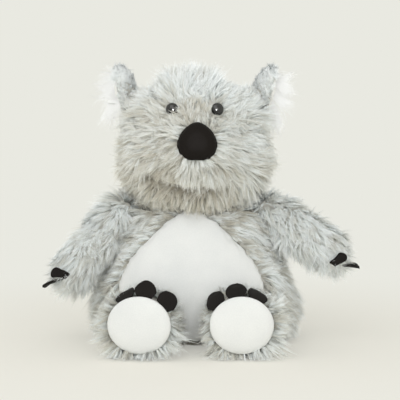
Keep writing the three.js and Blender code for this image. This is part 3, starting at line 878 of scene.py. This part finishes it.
def open_before_belly(skin):
    """Cuts the skin away behind the belly panel and at the neck, and gives it a cloth's wall."""
    tree = BVHTree.FromObject(belly_pad, bpy.context.evaluated_depsgraph_get())
    work = bmesh.new()
    work.from_mesh(skin.data)
    ahead = Vector((0, -1, 0))
    hidden = [
        face for face in work.faces
        if face.normal.z > 0.9 and face.calc_center_median().z > neck_opening
        or face.normal.y < 0 and tree.ray_cast(face.calc_center_median(), ahead, 0.03)[0] is not None
    ]
    bmesh.ops.delete(work, geom=hidden, context="FACES")
    work.to_mesh(skin.data)
    work.free()
    wall = skin.modifiers.new("wall", "SOLIDIFY")
    wall.thickness = shell_wall
    wall.offset = -1
    apply_modifiers(skin)


def make_torso():
    crease_belly()
    finished(belly_pad, "torso", ["belly_panel"])
    grown("torso", torso_skin, "torso", "torso", torso_comb, 21)
    open_before_belly(torso_skin)
    finished(torso_skin, "torso", ["body_cover"])


# Ears


def make_ear(name, side):
    body = f"{name}_ear"
    pivot = np.array(joints[f"{body}_fold"]["pos_m"])
    back = padded_copy(f"{name}_ear_plush", [f"{name}_ear_back"], "backing", pad_voxel, 4)
    moved_out(back, -pile_depth["ear"])
    lining = padded_copy(f"{name}_ear_inside", [f"{name}_ear_lining"], "lining", pad_voxel, 4)
    middle = centre_of(f"{name}_ear_lining")

    def back_comb(points, normals):
        outer = dot(normals, np.array([[side, 0, 0]]))[:, 0]
        share = 1 - 0.4 * smooth_step(0.2, 0.8, outer)
        return Lock(points, unit(points - pivot), share, tone=-0.1, tip=2.4, kept=outer < 0.75)

    def lining_comb(points, normals):
        low = smooth_step(0.02, -0.016, points[:, 2] - middle[2])
        way = np.array([side * 0.62, -0.15, -0.75])
        kept = dot(normals, np.array([[side, 0, 0]]))[:, 0] > 0.1
        share, lean = 0.5 + 0.45 * low, 0.75 + 0.2 * low
        facing = [side * 0.3 - 0.2, -0.8, 0.7]
        return Lock(points, way, share, lean, tone=0.0, kept=kept, facing=facing)

    grown(f"{name}_ear", back, body, "ear", back_comb, 31 + side)
    grown(f"{name}_ear_white", lining, body, "wisps", lining_comb, 35 + side)
    finished(back, body, [f"{name}_ear_back"])
    finished(lining, body, [f"{name}_ear_lining"])


# Limbs

claw_curl = 0.25
toe_curls = {"left": (0.9, 0.1, 0.3), "right": (0.4, 0.3, 0.8)}


def make_petal(name, node, body, root, backward, curl=0.0):
    """A felt petal with soft edges and a slightly uneven face, whose tip curls backward."""
    made = padded_copy(name, [node], "felt", felt_voxel, 3)
    points = points_of(made.data)
    along = unit(centre_of(node) - root)
    level = dot(points, along[None])
    share = (level - level.min()) / (level.max() - level.min())
    bend = curl * share**2
    drop = share * (level.max() - level.min())
    points = points + drop * ((np.cos(bend) - 1) * along + np.sin(bend) * backward)
    set_points(made.data, points + 0.00025 * ripple(points, 0.009, 41))
    finished(made, body, [node], levels=0)


def clear_of_torso(points):
    """A share of the pile's length that runs out where a limb lies against the torso."""
    tree = BVHTree.FromObject(torso_skin, bpy.context.evaluated_depsgraph_get())
    gaps = np.array([tree.find_nearest(Vector(point))[3] for point in points])
    return 0.6 + 0.4 * smooth_step(0.006, 0.018, gaps)


def make_arm(name, side):
    body = f"{name}_arm"
    pivot = np.array(joints[f"{body}_raise"]["pos_m"])
    claws = [f"{name}_paw_claw_{index}" for index in (1, 2, 3)]
    aim = unit(np.mean([centre_of(claw) for claw in claws], axis=0) - pivot)

    def comb(points, normals):
        way = np.tile(aim, (len(points), 1)) + np.array([0, 0, -0.25])
        high = smooth_step(0.034, 0.012, np.linalg.norm(points - pivot, axis=1))
        under = smooth_step(0.1, 0.6, -normals[:, 2])
        share = clear_of_torso(points) * (1 + 0.35 * high) * (1 + 0.25 * under)
        lean = 1 - 0.2 * high
        for claw in claws:
            near = np.linalg.norm(points - centre_of(claw) + claw_root * aim, axis=1)
            lean *= 1 - 0.4 * smooth_step(0.011, 0.004, near)
        return Lock(points, way, share, lean, tone=0.0, tip=1.2, facing=lit(normals, 0.6))

    skin = limb_skins[body]
    finished(skin, body, [f"{name}_arm_cover"])
    grown(body, skin, body, "arm", comb, 51 + side)
    for claw in claws:
        felt = claw.replace("paw_claw", "felt_claw")
        make_petal(felt, claw, body, pivot, np.array([0, 0, -1.0]), claw_curl)


def make_leg(name, side):
    body = f"{name}_leg"
    low, high, axes = flat_frame(f"{name}_sole_pad")
    middle, half, aim = (low + high) / 2, (high - low) / 2, axes[:, 2]
    toes = [f"{name}_foot_toe_{index}" for index in (1, 2, 3)]
    sole = axes @ middle

    def about_sole(points):
        """Outwards from the sole's axis, the share of its outline there, and how far ahead of it."""
        local = points @ axes - middle
        out = unit(local[:, :1] * axes[:, 0] + local[:, 1:2] * axes[:, 1])
        return out, np.hypot(local[:, 0] / half[0], local[:, 1] / half[1]), local[:, 2]

    petals = bmesh.new()
    petals.from_mesh(solid_of(toes))
    tree = BVHTree.FromBMesh(petals)
    petals.free()

    def clear_of_toes(points):
        gaps = np.array([tree.find_nearest(Vector(point))[3] for point in points])
        return 0.2 + 0.8 * smooth_step(0.003, 0.013, gaps)

    def comb(points, normals):
        out, _, ahead = about_sole(points)
        way = aim * 0.7 + 0.3 * out
        share = clear_of_torso(points) * clear_of_toes(points)
        # Warmer and darker towards the floor, as painted warm shade from the floor's bounce light
        tone = 0.12 + 0.15 * smooth_step(0.03, 0.0, points[:, 2])
        kept = ahead < ring_start
        return Lock(points, way, share, tone=tone, tip=1.2, kept=kept, facing=lit(normals))

    def ring_comb(points, normals):
        """Ruffled tufts round the sole, forwards and outwards, and more forwards near the floor.
        As the lean is of one radian, each lock's share of it is its angle to the skin's normal."""
        out, outline, ahead = about_sole(points)
        low = smooth_step(0.022, 0.009, points[:, 2])
        inner = smooth_step(0.026, 0.014, np.abs(points[:, 0]))
        out *= 1 - 0.45 * low[:, None]
        aimed = unit(0.85 * aim + 0.5 * out)
        angle = np.arccos(np.clip(dot(aimed, normals)[:, 0], -1, 1))
        struck = [
            tree.ray_cast(Vector(point), Vector(ray), toe_room)[0] is not None
            for point, ray in zip(points, aimed)
        ]
        below = (outline > ring_edge_below) & (normals[:, 2] < -0.6)
        kept = (ahead >= ring_start) & ((outline > ring_edge) | below) & ~np.array(struck)
        share = clear_of_toes(points) * (0.8 + 0.3 * smooth_step(0.0, -0.012, ahead))
        share *= (1 + 0.65 * low) * (1 - 0.4 * inner)
        bend = 0.6 * out - 0.15 * aim
        return Lock(points, aimed, share, angle, 0.12, 1.1, kept, bend, facing=aim)

    skin = limb_skins[body]
    finished(skin, body, [f"{name}_leg_cover"])
    finished(soles[name], body, [f"{name}_sole_pad"])
    grown(body, skin, body, "leg", comb, 61 + side)
    grown(f"{body}_ring", skin, body, "ring", ring_comb, 65 + side)
    for toe, curl in zip(toes, toe_curls[name]):
        make_petal(toe.replace("foot_toe", "felt_toe"), toe, body, sole, -aim, curl)


# Inside


def make_filling(name, node, body, slot, look, voxel, inset=0.0, lumps=0.0, top=math.inf):
    """A soft filling, drawn in from its cover and a little lumpy, and pressed down to a top."""
    made = padded_copy(name, [node], look, voxel)
    points = points_of(made.data)
    moved_out(made, -inset + lumps * ripple(points, 0.012, 71)[:, 0])
    points = points_of(made.data)
    points[:, 2] -= 0.9 * np.maximum(points[:, 2] - top, 0)
    set_points(made.data, points)
    finished(made, body, [node])


def make_fibre(body, node, voxel, inset, lumps, top=math.inf):
    make_filling(f"{body}_fibre", node, body, "fibre_fill", "fibre", voxel, inset, lumps, top)


def make_inside():
    make_fibre("torso", "body_stuffing", fibre_voxel, 0.0006, 0.0002, fibre_top)
    make_fibre("head", "head_stuffing", skin_voxel, 0.0025, 0.0005)
    millet = ("pouch_grain", "grain_filling", "torso", "grain", "grain")
    make_filling(*millet, fibre_voxel, 0.0012, 0.0004)
    for half in ("front", "back"):
        panel = (f"pouch_{half}", f"pouch_{half}_panel", "torso", "pouch_cotton", "cotton")
        make_filling(*panel, cotton_voxel)
    for body in limb_skins:
        make_fibre(body, f"{body}_stuffing", fibre_voxel, 0.0025, 0.0004)


# Room


def make_camera():
    data = bpy.data.cameras.new("camera")
    data.sensor_width = sensor_width
    data.lens = sensor_width * view_distance / (photo_pixels * pixel_span)
    camera = bpy.data.objects.new("camera", data)
    bpy.context.scene.collection.objects.link(camera)
    back = Vector((0, -math.cos(view_elevation), math.sin(view_elevation)))
    camera.location = view_centre + back * view_distance
    camera.rotation_euler = (math.pi / 2 - view_elevation, 0, 0)
    bpy.context.scene.camera = camera


def camera_ray(nodes, links):
    """1 on rays that the camera, gloss or glass sends, and 0 on those that light the object."""
    path = nodes.new("ShaderNodeLightPath")
    total = path.outputs["Is Camera Ray"]
    for kind in ("Is Glossy Ray", "Is Transmission Ray"):
        add = nodes.new("ShaderNodeMath")
        add.operation = "MAXIMUM"
        links.new(total, add.inputs[0])
        links.new(path.outputs[kind], add.inputs[1])
        total = add.outputs[0]
    return total


def make_floor():
    """A pale floor that keeps the shadow near the toy and runs into the background further out."""
    work = bmesh.new()
    bmesh.ops.create_grid(work, x_segments=2, y_segments=2, size=floor_half)
    mesh = bpy.data.meshes.new("floor")
    work.to_mesh(mesh)
    work.free()
    look = Look("floor", 0.95, specular=0.0)
    look.colour(look.ramp(look.noise(floor_patches), list(zip((0.2, 0.8), floor_colours))))
    length = look.add("ShaderNodeVectorMath", {0: look.place()}, operation="LENGTH")
    reach = {"Value": length.outputs["Value"], "From Min": floor_near, "From Max": floor_far}
    reach["To Min"] = floor_least
    spread = look.add("ShaderNodeMapRange", reach, interpolation_type="SMOOTHSTEP")
    spread = spread.outputs["Result"]
    seen = camera_ray(look.nodes, look.links)
    share = look.add("ShaderNodeMath", {0: spread, 1: seen}, operation="MULTIPLY").outputs[0]
    glow = look.add("ShaderNodeEmission", {"Color": backdrop_colour})
    both = look.nodes.new("ShaderNodeMixShader")
    look.links.new(share, both.inputs[0])
    look.links.new(look.shader.outputs[0], both.inputs[1])
    look.links.new(glow.outputs[0], both.inputs[2])
    look.links.new(both.outputs[0], look.nodes["Material Output"].inputs["Surface"])
    looks["floor"] = look.material
    object_of("floor", mesh, "floor")


def make_world():
    world = bpy.data.worlds.new("world")
    bpy.context.scene.world = world
    world.use_nodes = True
    nodes, links = world.node_tree.nodes, world.node_tree.links
    light = nodes["Background"]
    light.inputs["Color"].default_value = sky_colour
    light.inputs["Strength"].default_value = sky_strength
    shown = nodes.new("ShaderNodeBackground")
    shown.inputs["Color"].default_value = backdrop_colour
    both = nodes.new("ShaderNodeMixShader")
    links.new(camera_ray(nodes, links), both.inputs[0])
    links.new(light.outputs[0], both.inputs[1])
    links.new(shown.outputs[0], both.inputs[2])
    links.new(both.outputs[0], nodes["World Output"].inputs["Surface"])


def make_lamps():
    """Two broad soft ones, and a small one from the front that only shows in the eyes."""
    for name, (place, size, power) in lamps.items():
        data = bpy.data.lights.new(name, "AREA")
        data.size = size
        data.energy = power
        lamp = bpy.data.objects.new(name, data)
        bpy.context.scene.collection.objects.link(lamp)
        lamp.location = place
        lamp.rotation_euler = (view_centre - place).to_track_quat("-Z", "Y").to_euler()
        lamp.visible_camera = False
        lamp.visible_diffuse = name != "glint"


make_camera()
make_head()
make_torso()
for name, side in flanks.items():
    make_ear(name, side)
    make_arm(name, side)
    make_leg(name, side)
make_inside()
make_floor()
make_world()
make_lamps()

bpy.context.scene.view_settings.view_transform = "Standard"
